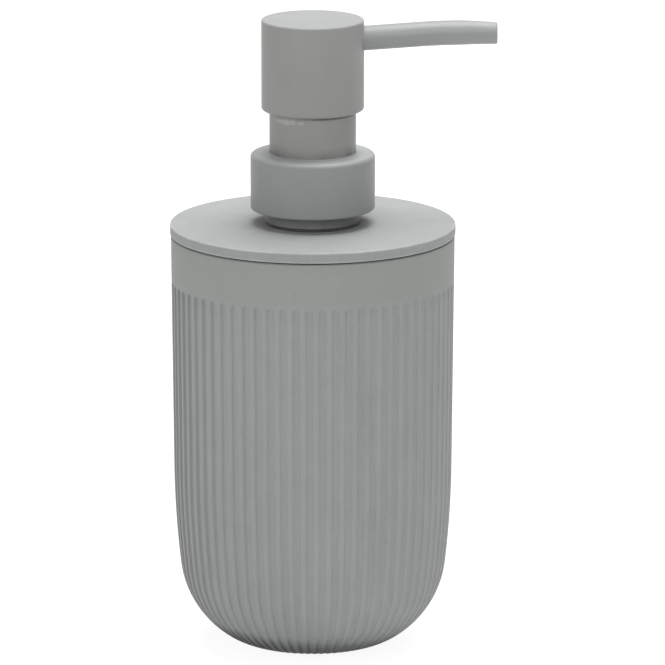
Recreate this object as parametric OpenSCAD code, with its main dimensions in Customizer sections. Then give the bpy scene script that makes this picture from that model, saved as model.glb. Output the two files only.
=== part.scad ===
// Soap pump dispenser: a cast fluted cup, a disc lid and a screw-on lotion pump.
// Millimetres, +Z up. The origin is on the cup's axis, on the surface that it stands on.
// The spout points along +X.

/* [Cup] */
// Diameter over the cup's mouth, in line with the crests of the flutes
cup_d = 74.9; // [62:0.1:90]
// Height of the cup from its foot to its mouth
cup_h = 110.2; // [90:0.1:134]
// Thickness of the cast wall
cup_wall = 4.0; // [3:0.1:6]
// Thickness of the cup's floor
cup_floor = 5.0; // [3:0.1:8]
// Radius of the tight arc at the foot
foot_r = 15.8; // [12:0.1:18]
// Radius of the wide arc that carries the foot into the wall
heel_r = 25.9; // [20:0.1:32]
// Radius of the slow curve of the lower wall
belly_r = 256; // [180:1:420]
// Draft of the upper wall, in degrees: it widens towards the mouth
draft = 0.55; // [0:0.05:1]

/* [Flutes] */
// Number of flutes round the cup
flute_count = 68; // [40:2:72]
// Depth of a flute
flute_depth = 0.5; // [0.2:0.05:0.8]
// Share of each flute's pitch that the groove takes
flute_share = 0.62; // [0.3:0.02:0.7]
// Turn of the flutes round the cup, as a share of one flute, from a groove at the front
flute_turn = 0.78; // [0:0.02:1]
// Height of the smooth band above the flutes
band_h = 11.9; // [6:0.1:20]
// Height over which a flute runs out at its top
flute_run_out = 1.2; // [0.8:0.1:3]

/* [Base pad] */
// Bare rim of the cup's flat foot outside the pad
pad_rim = 1.7; // [0.5:0.1:4]
// Thickness of the pad
pad_t = 1.4; // [1:0.1:2]
// How far the pad stands out below the cup
pad_proud = 0.6; // [0.3:0.1:0.9]

/* [Lid] */
// How far the lid stands out past the cup's wall
lid_over = 0.2; // [0:0.05:1.5]
// Thickness of the lid at its edge
lid_t = 2.75; // [2:0.05:5]
// Thickness of the seal between the cup and the lid
seal_t = 0.4; // [0.3:0.1:1]
// Depth of the ring that centres the lid in the cup's mouth
spigot_h = 4; // [2:0.5:8]
// Width of that ring
spigot_w = 3.2; // [2:0.1:6]
// Extra thickness of the lid round the neck, on its underside
hub_t = 1.4; // [0:0.1:3]

/* [Neck] */
// Clearance between the pump cylinder and the bore of the neck
neck_clear = 1.0; // [0.5:0.1:2]
// Wall of the neck above the lid, to the root of its thread
neck_wall = 2.75; // [2.4:0.05:4]
// Wall of the neck's tail through the lid
tail_wall = 1.2; // [1:0.1:2]
// Length of the tail that shows below the lock nut
tail_over = 1.0; // [0.5:0.1:4]
// Thickness of the lock nut
nut_t = 5; // [3:0.5:8]
// Wall of the lock nut at its flats
nut_wall = 3; // [2:0.1:5]
// Thickness of the washer between the neck and the lid
washer_t = 0.8; // [0.5:0.1:1.5]

/* [Closure] */
// Height of the collar's lower edge above the lid
collar_gap = 3.95; // [2:0.05:8]
// Height of the collar
collar_h = 14.9; // [12:0.1:18]
// Wall of the collar's outer shell
collar_wall = 0.7; // [0.5:0.1:1]
// Height of the thread on the neck
thread_h = 1.15; // [0.8:0.05:1.4]
// Clearance between the thread and the cap
cap_clear = 0.4; // [0.3:0.1:0.8]
// Wall of the threaded cap inside the collar
cap_wall = 1.5; // [1:0.1:3]
// Thickness of the cap's top
cap_t = 1.1; // [0.8:0.1:2]
// Thickness of the gasket on the neck's rim
gasket_t = 1.0; // [0.6:0.1:2]

/* [Pump] */
// Stroke of the pump
stroke = 11; // [6:0.5:14]
// Diameter of the stem
stem_d = 8.0; // [6.5:0.1:9.6]
// Bore of the stem
stem_bore = 4.2; // [3:0.1:5]
// Height of the piston
piston_h = 7; // [5.5:0.1:9]
// Wire of the return spring
spring_wire = 1.0; // [0.7:0.1:1.3]
// Turns of the return spring
spring_turns = 7; // [5:1:9]
// Wall of the pump cylinder
cylinder_wall = 1.3; // [1:0.1:2]
// Diameter of the inlet ball
ball_d = 5.0; // [4:0.1:6]
// Lift of the inlet ball off its seat
ball_lift = 1.2; // [0.8:0.1:1.5]
// Outside diameter of the dip tube
tube_d = 6.4; // [5.3:0.1:7.7]
// Wall of the dip tube
tube_wall = 1.0; // [0.6:0.1:1.4]
// Gap between the dip tube's tip and the cup's floor
tube_gap = 3.0; // [2:0.5:8]
// How far the guide sleeve lies inside the line of the neck
sleeve_inset = 1.15; // [0.8:0.05:2]
// Wall of the guide sleeve
sleeve_wall = 1.0; // [0.6:0.1:1.4]

/* [Head] */
// Clearance between the guide sleeve and the head's skirt
head_clear = 0.5; // [0.3:0.1:1]
// Wall of the skirt inside the head
skirt_wall = 0.6; // [0.5:0.1:1.5]
// Wall of the head's outer shell
head_wall = 0.9; // [0.7:0.1:1.2]
// Depth of the spout's axis below the head's top, measured on the pump's axis
spout_drop = 6.0; // [5:0.1:9]
// Diameter of the spout
spout_d = 6.5; // [5.4:0.1:7.8]
// Wall of the spout
spout_wall = 1.35; // [0.9:0.05:1.6]
// Reach of the spout's tip from the pump's axis
spout_reach = 48.3; // [40:0.1:60]
// Rise of the spout's straight stretch, in degrees
spout_rise = 4.1; // [2:0.1:8]
// Radius of the spout's arch
arch_r = 176; // [120:1:240]
// Distance from the pump's axis at which the arch starts
arch_start = 28; // [22:0.5:32]
// Length of the tapered nose
nose_l = 10; // [6:0.5:12]
// Narrowing of the spout over its nose
nose_taper = 0.8; // [0:0.1:1.2]

/* [Hidden] */
$fn = 96;
eps = 0.01;
play = 0.3;             // running clearance between pieces that move on each other
fit = 0.1;              // clearance between pieces that stay together
edge = 0.4;             // small rounding on visible edges
shell_edge = 0.65;      // rounding of the lower edges of the collar and the head
collar_edge = 1.0;      // rounding of the collar's top edge
lip_gap = 0.15;         // clearance between the guide sleeve and the collar's hole
collar_lip = 0.8;       // hollow fillet of the collar's top where it runs up to the sleeve
head_edge = 0.5;        // rounding of the head's top edge
foot_angle = 33;        // sweep of the foot's tight arc, in degrees
heel_angle = 50.4;      // sweep of the heel's arc
ring_steps = [3, 6, 2]; // rings of facets along the foot, the heel and the belly
flute_start = 1;        // a flute starts this far outside the flat foot
flute_fade = 8;         // and has its full depth after this much more
hub_rim = 1.5;          // rim of the lid's hub round the lock nut's corners
recess = 0.6;           // how far inner skirts stay above the shells round them
flange_t = 1.2;         // flanges of the cylinder and the chaplet
thin_flange_t = 0.8;    // flange of the guide sleeve
sleeve_lap = 2.65;      // length of the guide sleeve inside the head at rest
plug_l = 4.0;           // depth of the chaplet's plug in the cylinder
guide_wall = 1.2;       // wall of the chaplet's tube round the stem
guide_l = 5.0;          // height of that tube above the collar
boss_wall = 1.3;        // wall of the head's boss on the stem
block_floor = 0.55;     // thickness of the head's block under the spout
hub_wall = 1.0;         // wall of the piston's hub
skirt_t = 0.6;          // the piston's sealing skirt
skirt_gap = 0.2;        // the skirt runs this far off the cylinder's wall
web_t = 1.4;            // the piston's web
ring_h = 1.2;           // height of the stem's ring that drives the piston
ring_w = 0.8;           // width of that ring
valve_t = 1.4;          // head of the outlet valve
valve_w = 0.6;          // the outlet valve's head stands out this far past the stem
valve_l = 4.0;          // length of its stalk in the stem
spring_room = 15.7;     // room left under the piston at the end of its stroke
rib_t = 1.2;            // the rib that keeps the inlet ball in its cage
rib_w = 1.6;            // width of that rib
seat_bite = 0.7;        // the throat under the ball is this much smaller in radius
tip_angle = 30;         // slant of the dip tube's tip
root_in = 1;            // wall of the head's block between the stem and the spout's root
throat_l = 2.0;         // length of the inlet's throat
socket_l = 8.0;         // depth of the dip tube's socket
socket_wall = 1.4;      // wall of that socket
seat_angle = 34;        // half angle of the ball's seat
seat_gap = 0.1;         // the ball rests this far off its seat

// Diameters of the pump, from the stem outwards
guide_r = stem_d / 2 + play;
hub_in = stem_d / 2 + fit;
hub_out = hub_in + hub_wall;
spring_r = hub_out + play + spring_wire;        // outside of the return spring
skirt_in = spring_r + play;
piston_r = skirt_in + skirt_t;
cylinder_r = piston_r + skirt_gap;              // bore of the cylinder
body_r = cylinder_r + cylinder_wall;
bore_r = body_r + neck_clear;                   // bore of the neck
tail_r = bore_r + tail_wall;
nut_r = (tail_r + nut_wall) / cos(30);           // the lock nut, over its corners
neck_r = bore_r + neck_wall;
cap_bore_r = neck_r + thread_h + cap_clear;
cap_r = cap_bore_r + cap_wall;
collar_r = cap_r + fit + collar_wall;
flange_r = cap_bore_r - 2 * play;
sleeve_r = neck_r - sleeve_inset;
sleeve_bore_r = sleeve_r - sleeve_wall;
skirt_r = sleeve_r + head_clear;                // inside of the head's skirt
core_r = skirt_r + skirt_wall;
head_r = core_r + fit + head_wall;

// Levels, from the bottom up
cup_top = pad_proud + cup_h;
floor_z = pad_proud + cup_floor;
lid_z = cup_top + seal_t;
lid_top = lid_z + lid_t;
hub_z = lid_z - hub_t;
nut_z = hub_z - nut_t;
neck_z = lid_top + washer_t;
collar_z = lid_top + collar_gap;
collar_top = collar_z + collar_h;
cap_top = collar_top - collar_wall;
cap_seat = cap_top - cap_t;                     // underside of the cap's top
cylinder_top = cap_seat - fit - thin_flange_t;
cylinder_flange_z = cylinder_top - flange_t;
neck_top = cylinder_flange_z - gasket_t;
head_z = collar_top + stroke + 2 * play;
sleeve_top = head_z + sleeve_lap;
chaplet_top = collar_top + guide_l;
boss_z = chaplet_top + stroke + 2 * play;       // lower end of the head's boss
block_z = sleeve_top + stroke + 2 * play;       // underside of the head's solid block
spout_z = block_z + block_floor + spout_d / 2;  // height of the spout's axis on the pump's axis
head_top = spout_z + spout_drop;
block_top = head_top - head_wall - fit;

// Cup
cup_r = cup_d / 2;
mouth_r = cup_r - cup_wall;
heel_end_angle = foot_angle + heel_angle;
wall_angle = 90 - draft;
wall_low = foot_r * (1 - cos(foot_angle))       // height at which the straight wall starts
    + heel_r * (cos(foot_angle) - cos(heel_end_angle))
    + belly_r * (cos(heel_end_angle) - cos(wall_angle));
foot_flat = cup_r - (cup_h - wall_low) * tan(draft)
    - foot_r * sin(foot_angle)
    - heel_r * (sin(heel_end_angle) - sin(foot_angle))
    - belly_r * (sin(wall_angle) - sin(heel_end_angle));
flute_top = cup_h - band_h;
pad_r = foot_flat - pad_rim;

// Piston and stem
chaplet_z = cylinder_top - plug_l;
piston_top = chaplet_z - play;
piston_z = piston_top - piston_h;
web_z = piston_z + (piston_h - web_t) / 2;
ring_z = web_z + web_t + recess;
stem_top = spout_z - spout_d / 2 + spout_wall - recess;

// Cylinder, inlet valve and dip tube
shoulder_z = piston_z - stroke - spring_room;   // the flat that the spring stands on
cage_r = ball_d / 2 + 2 * play;
throat_r = ball_d / 2 - seat_bite;
seat_h = (cage_r - throat_r) / tan(seat_angle);
ball_up = (ball_d / 2 + seat_gap) / sin(seat_angle) - throat_r / tan(seat_angle);
throat_z = shoulder_z - rib_t - play - ball_lift - ball_d / 2 - ball_up;
ball_z = throat_z + ball_up;
socket_z = throat_z - throat_l;                 // where the dip tube's end stops
socket_r = max(tube_d / 2 + fit, cage_r) + socket_wall;
tip_z = floor_z + tube_gap;

// Spring
spring_z = shoulder_z + fit;
spring_l = web_z - fit - spring_z;
spring_closed = 1.05 * spring_wire * spring_turns / (spring_l - spring_wire);

// Spout
root_x = stem_d / 2 + root_in;                        // where the spout's root stops in the block
arch_c = [arch_start, spout_z + arch_start * tan(spout_rise)]
    + arch_r * [sin(spout_rise), -cos(spout_rise)];
nose_x = spout_reach - nose_l;

// ---- Helpers ----

// Points of an arc about c, from angle a0 to a1
function arc(c, r, a0, a1, n = 6) =
    [for (i = [0:n]) let (a = a0 + (a1 - a0) * i / n) [c[0] + r * cos(a), c[1] + r * sin(a)]];

// A ring between radii r0 and r1 and heights z0 and z1, with rounded outer edges
module ring(r0, r1, z0, z1, low = 0, high = 0) {
    outer = concat(
        low > 0 ? arc([r1 - low, z0 + low], low, -90, 0) : [[r1, z0]],
        high > 0 ? arc([r1 - high, z1 - high], high, 0, 90) : [[r1, z1]]);
    rotate_extrude() polygon(concat([[r0, z0]], outer, [[r0, z1]]));
}

// A cylinder from height z0 to z1
module rod(d, z0, z1) {
    translate([0, 0, z0]) cylinder(d = d, h = z1 - z0);
}

// ---- Cup ----

// A stretch of the cup's outline that turns from angle a0 to a1, moved in by t
function turn(start, r, a0, a1, n, t = 0) =
    [for (i = [0:n]) let (a = a0 + (a1 - a0) * i / n)
        [start[0] + r * (sin(a) - sin(a0)) - t * sin(a), start[1] + r * (cos(a0) - cos(a)) + t * cos(a)]];

foot_end = [foot_flat + foot_r * sin(foot_angle), foot_r * (1 - cos(foot_angle))];
heel_end = foot_end + heel_r * [sin(heel_end_angle) - sin(foot_angle), cos(foot_angle) - cos(heel_end_angle)];

// Outline of the cup's rounded lower part, from its flat foot up to its straight wall
function lower_outline(steps, t = 0) = concat(
    turn([foot_flat, 0], foot_r, 0, foot_angle, steps[0], t),
    [for (p = turn(foot_end, heel_r, foot_angle, heel_end_angle, steps[1], t)) if (p[0] > 0) p],
    turn(heel_end, belly_r, heel_end_angle, wall_angle, steps[2], t));

// Radius of the straight wall at a height above the cup's foot
function wall_at(z) = cup_r - (cup_h - z) * tan(draft);

// Drops a point that repeats the one before it
function distinct(points) =
    [for (i = [0:len(points) - 1]) if (i == 0 || norm(points[i] - points[i - 1]) > eps) points[i]];

// Depth of a flute on an outline point: it fades in at the foot and runs out below the band
function depth_at(p) =
    let (fade = min(1, max(0, (p[0] - foot_flat - flute_start) / flute_fade)),
        top = max(0, min(1, (flute_top - p[1]) / flute_run_out)))
    flute_depth * fade * sqrt(1 - pow(1 - top, 2));

// Height steps of the run-out, as shares of its height
run_out_steps = [1, 0.5, 0.15, 0];

cup_rings = distinct(concat(
    lower_outline(ring_steps),
    [for (s = run_out_steps) let (z = flute_top - s * flute_run_out) [wall_at(z), z]],
    [[wall_at(cup_h - edge), cup_h - edge], [cup_r - edge, cup_h]]));

// Each flute is four points: its two lips and the two edges of its floor
flute_marks = [-0.5, -0.3, 0.3, 0.5];
flute_levels = [0, 1, 1, 0];

function fluted_point(p, k) =
    let (lip = k % 4, step = 360 / flute_count,
        a = step * (floor(k / 4) + flute_turn + flute_marks[lip] * flute_share),
        r = p[0] - depth_at(p) * flute_levels[lip])
    [r * cos(a), r * sin(a), p[1]];

module fluted_body() {
    around = 4 * flute_count;
    rings = len(cup_rings);
    points = [for (p = cup_rings) for (k = [0:around - 1]) fluted_point(p, k)];
    sides = [for (i = [0:rings - 2]) for (k = [0:around - 1])
        let (a = i * around + k, b = i * around + (k + 1) % around)
        each [[a, a + around, b], [b, a + around, b + around]]];
    base = [for (k = [0:around - 1]) k];
    top = [for (k = [around - 1:-1:0]) (rings - 1) * around + k];
    polyhedron(points = points, faces = concat([base, top], sides), convexity = 4);
}

module cup_cavity() {
    inner = [for (p = lower_outline([8, 10, 4], cup_wall)) if (p[1] > cup_floor) p];
    rotate_extrude() polygon(concat([[0, cup_floor], [inner[0][0], cup_floor]], inner,
        [[mouth_r + tan(draft), cup_h + 1], [0, cup_h + 1]]));
}

module cup() {
    color([0.60, 0.60, 0.58]) translate([0, 0, pad_proud]) difference() {
        fluted_body();
        cup_cavity();
        rod(2 * (pad_r + fit), -1, pad_t - pad_proud);
    }
}

module base_pad() {
    color([0.25, 0.25, 0.25]) rod(2 * pad_r, 0, pad_t);
}

// ---- Lid and neck ----

module lid_seal() {
    color([0.2, 0.2, 0.2]) ring(mouth_r + fit, cup_r - 2 * edge, cup_top, lid_z);
}

module lid() {
    spigot_r = mouth_r - 2 * fit;
    hole_r = tail_r + fit;
    hub_r = nut_r + hub_rim;
    color([0.62, 0.62, 0.60]) union() {
        ring(hole_r, cup_r + lid_over, lid_z, lid_top, edge / 2, edge);
        ring(hole_r, hub_r, hub_z, lid_z);
        ring(spigot_r - spigot_w, spigot_r, lid_z - spigot_h, lid_z, edge);
    }
}

module neck_washer() {
    color([0.1, 0.1, 0.1]) ring(tail_r + fit, neck_r - fit, lid_top, neck_z);
}

// The neck stands on the washer, and its tail goes down through the lid
module neck_insert() {
    color([0.50, 0.50, 0.48]) difference() {
        union() {
            ring(0, neck_r, neck_z, neck_top, 0, edge);
            rod(2 * tail_r, nut_z - tail_over, neck_z);
        }
        rod(2 * bore_r, nut_z - tail_over - 1, neck_top + 1);
    }
}

module neck_nut() {
    color([0.7, 0.7, 0.7]) difference() {
        translate([0, 0, nut_z]) cylinder(r = nut_r, h = nut_t, $fn = 6);
        rod(2 * (tail_r + fit), nut_z - 1, hub_z + 1);
    }
}

// ---- Closure ----

// The shell's top runs up to the guide sleeve in a hollow fillet
module closure_shell() {
    hole_r = sleeve_r + lip_gap;
    lip = arc([hole_r + collar_lip * cos(30), collar_top + collar_lip], collar_lip, 210, 270);
    color([0.58, 0.58, 0.56]) union() {
        difference() {
            ring(0, collar_r, collar_z, collar_top, shell_edge, collar_edge);
            rod(2 * (collar_r - collar_wall), collar_z - 1, cap_top);
            rod(2 * hole_r, collar_z, collar_top + 1);
        }
        rotate_extrude() polygon(concat([[hole_r, collar_top]], lip));
    }
}

module closure_cap() {
    color([0.75, 0.75, 0.73]) difference() {
        ring(0, cap_r, collar_z + recess, cap_top, 0, edge);
        rod(2 * cap_bore_r, collar_z, cap_seat);
        rod(2 * (sleeve_r + play), collar_z, cap_top + 1);
    }
}

module flange_gasket() {
    color([0.85, 0.85, 0.83]) ring(body_r + fit, flange_r, neck_top, cylinder_flange_z);
}

// ---- Pump body ----

module pump_cylinder() {
    cone_top = shoulder_z - cylinder_wall;
    socket_end = socket_z - socket_l;
    color([0.88, 0.88, 0.86]) difference() {
        rotate_extrude() polygon([[0, cylinder_top], [flange_r, cylinder_top],
            [flange_r, cylinder_flange_z], [body_r, cylinder_flange_z], [body_r, cone_top],
            [socket_r, cone_top - (body_r - socket_r)], [socket_r, socket_end], [0, socket_end]]);
        rod(2 * cylinder_r, shoulder_z, cylinder_top + 1);
        difference() {
            rod(2 * cage_r, throat_z + seat_h, shoulder_z + eps);
            translate([-2 * cage_r, -rib_w / 2, shoulder_z - rib_t]) cube([4 * cage_r, rib_w, rib_t]);
        }
        translate([0, 0, throat_z]) cylinder(r1 = throat_r, r2 = cage_r, h = seat_h);
        rod(2 * throat_r, socket_z - eps, throat_z);
        rod(tube_d + 2 * fit, socket_end - 1, socket_z);
    }
}

// The fixed sleeve that the head slides over, with the flange that the closure holds down
module guide_sleeve() {
    color([0.57, 0.57, 0.55]) union() {
        ring(sleeve_bore_r, sleeve_r, cylinder_top, sleeve_top, 0, edge);
        ring(sleeve_bore_r, flange_r, cylinder_top, cylinder_top + thin_flange_t);
    }
}

// The guide that plugs into the cylinder and steers the stem
module chaplet() {
    color([0.80, 0.80, 0.78]) union() {
        ring(guide_r, cylinder_r - fit, chaplet_z, cylinder_top);
        ring(guide_r, sleeve_bore_r - fit, cylinder_top, cylinder_top + flange_t, 0, edge);
        ring(guide_r, guide_r + guide_wall, cylinder_top, chaplet_top, 0, edge);
    }
}

module inlet_ball() {
    color([0.8, 0.8, 0.82]) translate([0, 0, ball_z]) sphere(d = ball_d);
}

// The tube hangs from the cylinder, and its tip is cut on the slant
module dip_tube() {
    color([0.92, 0.92, 0.90]) difference() {
        rod(tube_d, tip_z, socket_z);
        rod(tube_d - 2 * tube_wall, tip_z - 1, socket_z + 1);
        translate([-tube_d / 2, 0, tip_z]) rotate([0, -tip_angle, 0])
            translate([-tube_d, -tube_d, -2 * tube_d]) cube([4 * tube_d, 2 * tube_d, 2 * tube_d]);
    }
}

// Height along the coil at u from 0 to 1: the end turns lie close, the middle ones are open
function coil_height(u) = u - (1 - spring_closed) * sin(360 * u) / (2 * PI);

module return_spring() {
    sides = 8;
    steps = 14 * spring_turns;
    mean_r = spring_r - spring_wire / 2;
    points = [for (i = [0:steps]) let (u = i / steps, a = 360 * spring_turns * u,
        z = spring_z + spring_wire / 2 + (spring_l - spring_wire) * coil_height(u))
        for (k = [0:sides - 1]) let (b = 360 * k / sides, r = mean_r + spring_wire / 2 * cos(b))
            [r * cos(a), r * sin(a), z + spring_wire / 2 * sin(b)]];
    skin = [for (i = [0:steps - 1]) for (k = [0:sides - 1])
        let (p = i * sides + k, q = i * sides + (k + 1) % sides)
        each [[p, q, p + sides], [q, q + sides, p + sides]]];
    start = [for (k = [sides - 1:-1:0]) k];
    end = [for (k = [0:sides - 1]) steps * sides + k];
    color([0.75, 0.76, 0.78])
        polyhedron(points = points, faces = concat([start], skin, [end]), convexity = 8);
}

// ---- Plunger ----

module stem() {
    color([0.90, 0.90, 0.88]) difference() {
        union() {
            rod(stem_d, piston_z, stem_top);
            rod(stem_d + 2 * ring_w, ring_z, ring_z + ring_h);
        }
        rod(stem_bore, piston_z - 1, stem_top + 1);
    }
}

// The piston is an H in section: a hub on the stem, a web, and a skirt with two lips
module piston() {
    color([0.93, 0.93, 0.92]) rotate_extrude() polygon([
        [hub_in, piston_z], [hub_out, piston_z], [hub_out, web_z], [skirt_in, web_z],
        [piston_r - skirt_t / 2, piston_z], [piston_r, piston_z], [piston_r - skirt_t / 3, web_z],
        [piston_r - skirt_t / 3, web_z + web_t], [piston_r, piston_top],
        [piston_r - skirt_t / 2, piston_top], [skirt_in, web_z + web_t],
        [hub_out, web_z + web_t], [hub_out, ring_z], [hub_in, ring_z]]);
}

module outlet_valve() {
    color([0.85, 0.85, 0.87]) union() {
        rod(stem_d + 2 * valve_w, piston_z - valve_t, piston_z);
        rod(stem_bore - 2 * fit, piston_z, piston_z + valve_l);
    }
}

// ---- Head ----

// A point of the spout's axis at distance x from the pump's axis, with the axis's slope there
function spout_axis(x) = x < arch_start
    ? [x, spout_z + x * tan(spout_rise), spout_rise]
    : let (a = asin((arch_c[0] - x) / arch_r)) [x, arch_c[1] + arch_r * cos(a), a];

// Radius of the spout outside at distance x: it tapers over the nose and is rounded at the rim
function spout_r(x) =
    (spout_d - nose_taper * max(0, x - nose_x) / nose_l) / 2 - (x > spout_reach - eps ? edge / 2 : 0);

module spout_tube() {
    sides = 24;
    arch = [for (i = [0:5]) arch_start + (spout_reach - edge - arch_start) * i / 5];
    outside = [for (x = concat([root_x], arch, [spout_reach])) [x, spout_r(x)]];
    bore_r = spout_d / 2 - spout_wall;
    inside = [for (x = concat([spout_reach], [for (i = [5:-1:0]) arch[i]], [root_x])) [x, bore_r]];
    rings = concat(outside, inside);
    count = len(rings);
    points = [for (ring = rings) let (c = spout_axis(ring[0])) for (k = [0:sides - 1])
        let (a = 360 * k / sides, u = ring[1] * sin(a))
            [c[0] - u * sin(c[2]), -ring[1] * cos(a), c[1] + u * cos(c[2])]];
    faces = [for (i = [0:count - 1]) for (k = [0:sides - 1])
        let (a = i * sides + k, b = i * sides + (k + 1) % sides, j = ((i + 1) % count) * sides)
        each [[a, b, j + k], [b, j + (k + 1) % sides, j + k]]];
    color([0.60, 0.60, 0.58]) polyhedron(points = points, faces = faces, convexity = 4);
}

// A straight bore on the spout's axis, from distance x0 to x1 from the pump's axis
module spout_bore_at(d, x0, x1) {
    translate([0, 0, spout_z]) rotate([0, 90 - spout_rise, 0])
        translate([0, 0, x0 / cos(spout_rise)]) cylinder(d = d, h = (x1 - x0) / cos(spout_rise));
}

module head_shell() {
    color([0.60, 0.60, 0.58]) difference() {
        ring(0, head_r, head_z, head_top, shell_edge, head_edge);
        rod(2 * (head_r - head_wall), head_z - 1, head_top - head_wall);
        spout_bore_at(spout_d + fit, head_r / 2, 2 * head_r);
    }
}

// The block inside the head: a skirt round the sleeve, a boss on the stem, and the elbow
module head_core() {
    color([0.78, 0.78, 0.76]) difference() {
        union() {
            rod(2 * core_r, block_z, block_top);
            ring(skirt_r, core_r, head_z + recess, block_z);
            rod(stem_d + 2 * boss_wall, boss_z, block_z);
        }
        rod(stem_d + fit, boss_z - 1, stem_top);
        rod(stem_bore, stem_top - 1, spout_z);
        spout_bore_at(spout_d - 2 * spout_wall, 0, root_x + 1);
        spout_bore_at(spout_d + fit, root_x, 2 * head_r);
    }
}

cup();
base_pad();
lid_seal();
lid();
neck_washer();
neck_insert();
neck_nut();
flange_gasket();
pump_cylinder();
guide_sleeve();
chaplet();
return_spring();
inlet_ball();
dip_tube();
closure_shell();
closure_cap();
stem();
piston();
outlet_valve();
head_shell();
head_core();
spout_tube();
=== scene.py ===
# %% [markdown]
# # A soap pump dispenser
#
# This lesson gives a finished look to a dispenser whose construction is already settled.
# It has a cast, fluted cup with a flat disc lid, and a lotion pump with a slim arched spout.
# The frame that we load holds every piece at its real size, and we never move or resize one.
# We turn, sweep and shade finer versions of what shows, and give the inner pieces a finish.

# %% Load the frame
import math

import bmesh
import bpy
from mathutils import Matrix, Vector


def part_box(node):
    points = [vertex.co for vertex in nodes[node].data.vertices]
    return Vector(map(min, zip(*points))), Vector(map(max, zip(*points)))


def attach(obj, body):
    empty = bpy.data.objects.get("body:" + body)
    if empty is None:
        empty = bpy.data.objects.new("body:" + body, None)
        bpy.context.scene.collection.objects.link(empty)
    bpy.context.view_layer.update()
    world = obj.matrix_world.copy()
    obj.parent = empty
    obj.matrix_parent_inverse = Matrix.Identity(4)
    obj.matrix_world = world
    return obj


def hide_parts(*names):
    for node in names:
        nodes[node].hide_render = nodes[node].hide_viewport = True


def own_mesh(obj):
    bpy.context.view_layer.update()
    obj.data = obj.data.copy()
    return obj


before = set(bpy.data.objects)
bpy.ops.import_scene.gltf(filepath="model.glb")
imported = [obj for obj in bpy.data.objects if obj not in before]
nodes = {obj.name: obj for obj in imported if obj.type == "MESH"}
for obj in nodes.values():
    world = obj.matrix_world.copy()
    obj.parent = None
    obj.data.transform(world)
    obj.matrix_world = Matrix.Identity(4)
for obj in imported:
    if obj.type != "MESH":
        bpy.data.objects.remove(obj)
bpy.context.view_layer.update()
MM = 0.001
print("pieces in the frame:", len(nodes))

# %% [markdown]
# ## Measuring the frame
#
# Everything is placed from the frame's own boxes, so the looks stay true if a size changes.
# A round piece's radius is half its box's width, and its lowest and highest points are the
# box's. Two small helpers say that once.

# %% Read sizes from the frame


def radius(node):
    low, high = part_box(node)
    return (high.y - low.y) / 2


def span(node):
    low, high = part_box(node)
    return low.z, high.z


cup_r = radius("cup")
cup_base, cup_top = span("cup")
lid_r = radius("lid")
lid_low, lid_top = span("lid_seal")[1], span("lid")[1]
print(f"cup {2 * cup_r / MM:.1f} mm wide, lid top at {lid_top / MM:.1f} mm")

# %% [markdown]
# ## The camera
#
# A short lens close by would make the cup's sides lean. A long lens from nearly two metres
# keeps them upright, as in a catalogue view. It looks down by under 14 degrees, so the lid
# shows as a thin ellipse. The camera stands straight in front of the middle of the whole
# object, so no lens shift is needed.

# %% Place the camera
CAMERA_DISTANCE = 1.875
CAMERA_ELEVATION = math.radians(13.25)
CAMERA_LENS = 383.5
aim = Vector((5.20 * MM, 0, 84.12 * MM))

camera_data = bpy.data.cameras.new("camera")
camera_data.lens = CAMERA_LENS
camera_data.sensor_width = 36
camera_data.clip_end = 20
camera = bpy.data.objects.new("camera", camera_data)
bpy.context.scene.collection.objects.link(camera)
back = Vector((0, -math.cos(CAMERA_ELEVATION), math.sin(CAMERA_ELEVATION)))
camera.location = aim + back * CAMERA_DISTANCE
camera.rotation_euler = back.to_track_quat("Z", "Y").to_euler()
bpy.context.scene.camera = camera
print("camera at", [round(c, 3) for c in camera.location])

# %% [markdown]
# ## Studio light
#
# A matte grey object shows its form only through soft shading, so each light has one job.
# A wide box hangs overhead, so the flat tops are far brighter than the sides, and the pump
# shades the lid in front of it. A long low box on the left rakes across the flutes and gives
# every one a darker left wall. A low box on the right keeps the other side level with it, and
# a small one higher up in front reaches the neck's foot under the collar. A last one lights
# the back, and is kept out of reflections, because it would glare on the flat tops.

# %% Hang the lamps
TOP_POWER = 20.4
LEFT_POWER = 6.1
RIGHT_POWER = 3.3
FRONT_POWER = 3.9
BACK_POWER = 5.0


def soft_box(name, place, target, size, power):
    data = bpy.data.lights.new(name, "AREA")
    data.shape = "RECTANGLE"
    data.size, data.size_y = size
    data.energy = power
    lamp = bpy.data.objects.new(name, data)
    lamp.location = place
    lamp.rotation_euler = (Vector(place) - Vector(target)).to_track_quat("Z", "Y").to_euler()
    bpy.context.scene.collection.objects.link(lamp)
    return lamp


def round_about(angle, distance, height):
    """A place at an angle from the front, to the right where it is positive."""
    a = math.radians(angle)
    return (distance * math.sin(a), -distance * math.cos(a), height)


middle = (0, 0, lid_top * 0.6)
soft_box("top_box", (0.13, 0.14, 1.3), middle, (0.8, 1.1), TOP_POWER)
soft_box("left_box", round_about(-48, 1.55, 0.5), middle, (1.5, 0.5), LEFT_POWER)
soft_box("right_box", round_about(60, 1.55, 0.5), middle, (0.6, 0.5), RIGHT_POWER)
soft_box("front_box", round_about(0, 1.3, 0.9), middle, (0.6, 0.5), FRONT_POWER)
back_box = soft_box("back_box", round_about(180, 1.6, 0.38), middle, (1.5, 0.5), BACK_POWER)
back_box.visible_glossy = False

# %% [markdown]
# ## White where the camera looks
#
# The background has to be white, but a plain white world would light the object from all
# sides and flatten it. So the world and the floor ask what kind of ray sees them: camera,
# mirror and clear rays meet white, and the rays that light the object meet a dim world and a
# pale floor, which throws some light back up. Close round the cup the floor glows a little
# less, so that a faint shadow shows there.

# %% A helper for nodes


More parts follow.
